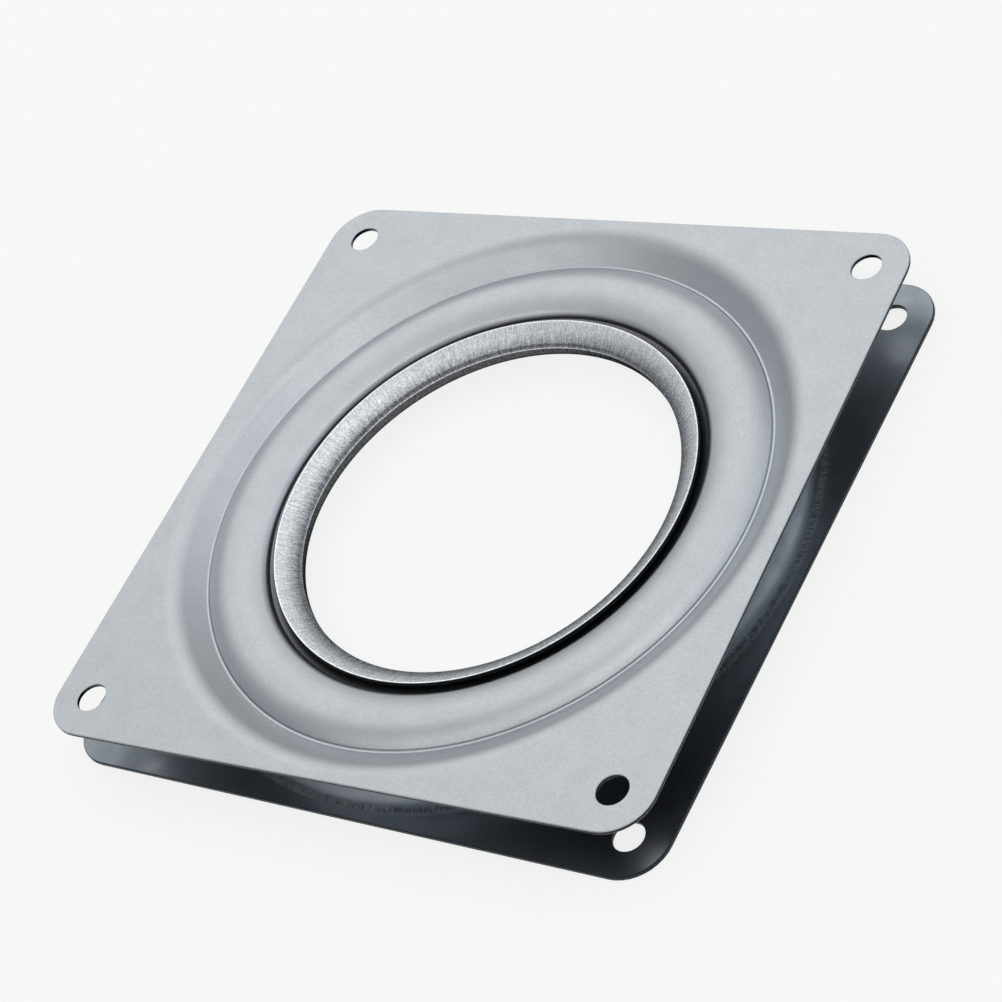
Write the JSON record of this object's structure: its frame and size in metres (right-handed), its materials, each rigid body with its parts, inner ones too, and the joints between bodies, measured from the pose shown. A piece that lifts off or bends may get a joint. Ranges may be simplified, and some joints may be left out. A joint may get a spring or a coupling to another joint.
{
  "type": "lazy susan bearing",
  "caption": "Square turntable bearing: pressed sheet-steel plates turn on a caged ring of balls, held by a flared centre collar around an open hole",
  "frame": {"origin": "centre of the lower plate's lower face, on the turning axis", "axes": "+Z is the turning axis, from the lower plate to the upper; X and Y lie along the lower plate's sides"},
  "size_m": [0.1168, 0.1168, 0.0113],
  "materials": {
    "lower_sheet": "zinc-plated pressed sheet steel, matte, the flare drawn bright",
    "upper_sheet": "zinc-plated pressed sheet steel, matte",
    "cage_nylon": "moulded nylon, matte",
    "ball_steel": "polished bearing steel"
  },
  "bodies": {
    "lower_plate": {"lower_plate": "lower_sheet"},
    "upper_plate": {"upper_plate": "upper_sheet"},
    "cage": {"ball_cage": "cage_nylon"},
    "ball_01": {"ball_01": "ball_steel"},
    "ball_02": {"ball_02": "ball_steel"},
    "ball_03": {"ball_03": "ball_steel"},
    "ball_04": {"ball_04": "ball_steel"},
    "ball_05": {"ball_05": "ball_steel"},
    "ball_06": {"ball_06": "ball_steel"},
    "ball_07": {"ball_07": "ball_steel"},
    "ball_08": {"ball_08": "ball_steel"},
    "ball_09": {"ball_09": "ball_steel"},
    "ball_10": {"ball_10": "ball_steel"},
    "ball_11": {"ball_11": "ball_steel"},
    "ball_12": {"ball_12": "ball_steel"},
    "ball_13": {"ball_13": "ball_steel"},
    "ball_14": {"ball_14": "ball_steel"},
    "ball_15": {"ball_15": "ball_steel"},
    "ball_16": {"ball_16": "ball_steel"},
    "ball_17": {"ball_17": "ball_steel"},
    "ball_18": {"ball_18": "ball_steel"},
    "ball_19": {"ball_19": "ball_steel"},
    "ball_20": {"ball_20": "ball_steel"},
    "ball_21": {"ball_21": "ball_steel"},
    "ball_22": {"ball_22": "ball_steel"},
    "ball_23": {"ball_23": "ball_steel"},
    "ball_24": {"ball_24": "ball_steel"}
  },
  "joints": [
    {"name": "plate_spin", "type": "hinge", "parent": "lower_plate", "child": "upper_plate", "pos_m": [0, 0, 0.00565], "axis": [0, 0, 1], "continuous": true},
    {"name": "cage_spin", "type": "hinge", "parent": "lower_plate", "child": "cage", "pos_m": [0, 0, 0.00565], "axis": [0, 0, 1], "continuous": true},
    {"name": "ball_01_roll", "type": "hinge", "parent": "cage", "child": "ball_01", "pos_m": [0.0444, 0, 0.00565], "axis": [-1, 0, 0], "continuous": true},
    {"name": "ball_02_roll", "type": "hinge", "parent": "cage", "child": "ball_02", "pos_m": [0.04289, 0.01149, 0.00565], "axis": [-0.9659, -0.2588, 0], "continuous": true},
    {"name": "ball_03_roll", "type": "hinge", "parent": "cage", "child": "ball_03", "pos_m": [0.03845, 0.0222, 0.00565], "axis": [-0.866, -0.5, 0], "continuous": true},
    {"name": "ball_04_roll", "type": "hinge", "parent": "cage", "child": "ball_04", "pos_m": [0.0314, 0.0314, 0.00565], "axis": [-0.7071, -0.7071, 0], "continuous": true},
    {"name": "ball_05_roll", "type": "hinge", "parent": "cage", "child": "ball_05", "pos_m": [0.0222, 0.03845, 0.00565], "axis": [-0.5, -0.866, 0], "continuous": true},
    {"name": "ball_06_roll", "type": "hinge", "parent": "cage", "child": "ball_06", "pos_m": [0.01149, 0.04289, 0.00565], "axis": [-0.2588, -0.9659, 0], "continuous": true},
    {"name": "ball_07_roll", "type": "hinge", "parent": "cage", "child": "ball_07", "pos_m": [0, 0.0444, 0.00565], "axis": [0, -1, 0], "continuous": true},
    {"name": "ball_08_roll", "type": "hinge", "parent": "cage", "child": "ball_08", "pos_m": [-0.01149, 0.04289, 0.00565], "axis": [0.2588, -0.9659, 0], "continuous": true},
    {"name": "ball_09_roll", "type": "hinge", "parent": "cage", "child": "ball_09", "pos_m": [-0.0222, 0.03845, 0.00565], "axis": [0.5, -0.866, 0], "continuous": true},
    {"name": "ball_10_roll", "type": "hinge", "parent": "cage", "child": "ball_10", "pos_m": [-0.0314, 0.0314, 0.00565], "axis": [0.7071, -0.7071, 0], "continuous": true},
    {"name": "ball_11_roll", "type": "hinge", "parent": "cage", "child": "ball_11", "pos_m": [-0.03845, 0.0222, 0.00565], "axis": [0.866, -0.5, 0], "continuous": true},
    {"name": "ball_12_roll", "type": "hinge", "parent": "cage", "child": "ball_12", "pos_m": [-0.04289, 0.01149, 0.00565], "axis": [0.9659, -0.2588, 0], "continuous": true},
    {"name": "ball_13_roll", "type": "hinge", "parent": "cage", "child": "ball_13", "pos_m": [-0.0444, 0, 0.00565], "axis": [1, 0, 0], "continuous": true},
    {"name": "ball_14_roll", "type": "hinge", "parent": "cage", "child": "ball_14", "pos_m": [-0.04289, -0.01149, 0.00565], "axis": [0.9659, 0.2588, 0], "continuous": true},
    {"name": "ball_15_roll", "type": "hinge", "parent": "cage", "child": "ball_15", "pos_m": [-0.03845, -0.0222, 0.00565], "axis": [0.866, 0.5, 0], "continuous": true},
    {"name": "ball_16_roll", "type": "hinge", "parent": "cage", "child": "ball_16", "pos_m": [-0.0314, -0.0314, 0.00565], "axis": [0.7071, 0.7071, 0], "continuous": true},
    {"name": "ball_17_roll", "type": "hinge", "parent": "cage", "child": "ball_17", "pos_m": [-0.0222, -0.03845, 0.00565], "axis": [0.5, 0.866, 0], "continuous": true},
    {"name": "ball_18_roll", "type": "hinge", "parent": "cage", "child": "ball_18", "pos_m": [-0.01149, -0.04289, 0.00565], "axis": [0.2588, 0.9659, 0], "continuous": true},
    {"name": "ball_19_roll", "type": "hinge", "parent": "cage", "child": "ball_19", "pos_m": [0, -0.0444, 0.00565], "axis": [0, 1, 0], "continuous": true},
    {"name": "ball_20_roll", "type": "hinge", "parent": "cage", "child": "ball_20", "pos_m": [0.01149, -0.04289, 0.00565], "axis": [-0.2588, 0.9659, 0], "continuous": true},
    {"name": "ball_21_roll", "type": "hinge", "parent": "cage", "child": "ball_21", "pos_m": [0.0222, -0.03845, 0.00565], "axis": [-0.5, 0.866, 0], "continuous": true},
    {"name": "ball_22_roll", "type": "hinge", "parent": "cage", "child": "ball_22", "pos_m": [0.0314, -0.0314, 0.00565], "axis": [-0.7071, 0.7071, 0], "continuous": true},
    {"name": "ball_23_roll", "type": "hinge", "parent": "cage", "child": "ball_23", "pos_m": [0.03845, -0.0222, 0.00565], "axis": [-0.866, 0.5, 0], "continuous": true},
    {"name": "ball_24_roll", "type": "hinge", "parent": "cage", "child": "ball_24", "pos_m": [0.04289, -0.01149, 0.00565], "axis": [-0.9659, 0.2588, 0], "continuous": true}
  ],
  "couplings": [
    {"joint": "cage_spin", "follows": "plate_spin", "ratio": 0.5},
    {"joint": "ball_01_roll", "follows": "plate_spin", "ratio": 6.9922},
    {"joint": "ball_02_roll", "follows": "plate_spin", "ratio": 6.9922},
    {"joint": "ball_03_roll", "follows": "plate_spin", "ratio": 6.9922},
    {"joint": "ball_04_roll", "follows": "plate_spin", "ratio": 6.9922},
    {"joint": "ball_05_roll", "follows": "plate_spin", "ratio": 6.9922},
    {"joint": "ball_06_roll", "follows": "plate_spin", "ratio": 6.9922},
    {"joint": "ball_07_roll", "follows": "plate_spin", "ratio": 6.9922},
    {"joint": "ball_08_roll", "follows": "plate_spin", "ratio": 6.9922},
    {"joint": "ball_09_roll", "follows": "plate_spin", "ratio": 6.9922},
    {"joint": "ball_10_roll", "follows": "plate_spin", "ratio": 6.9922},
    {"joint": "ball_11_roll", "follows": "plate_spin", "ratio": 6.9922},
    {"joint": "ball_12_roll", "follows": "plate_spin", "ratio": 6.9922},
    {"joint": "ball_13_roll", "follows": "plate_spin", "ratio": 6.9922},
    {"joint": "ball_14_roll", "follows": "plate_spin", "ratio": 6.9922},
    {"joint": "ball_15_roll", "follows": "plate_spin", "ratio": 6.9922},
    {"joint": "ball_16_roll", "follows": "plate_spin", "ratio": 6.9922},
    {"joint": "ball_17_roll", "follows": "plate_spin", "ratio": 6.9922},
    {"joint": "ball_18_roll", "follows": "plate_spin", "ratio": 6.9922},
    {"joint": "ball_19_roll", "follows": "plate_spin", "ratio": 6.9922},
    {"joint": "ball_20_roll", "follows": "plate_spin", "ratio": 6.9922},
    {"joint": "ball_21_roll", "follows": "plate_spin", "ratio": 6.9922},
    {"joint": "ball_22_roll", "follows": "plate_spin", "ratio": 6.9922},
    {"joint": "ball_23_roll", "follows": "plate_spin", "ratio": 6.9922},
    {"joint": "ball_24_roll", "follows": "plate_spin", "ratio": 6.9922}
  ]
}
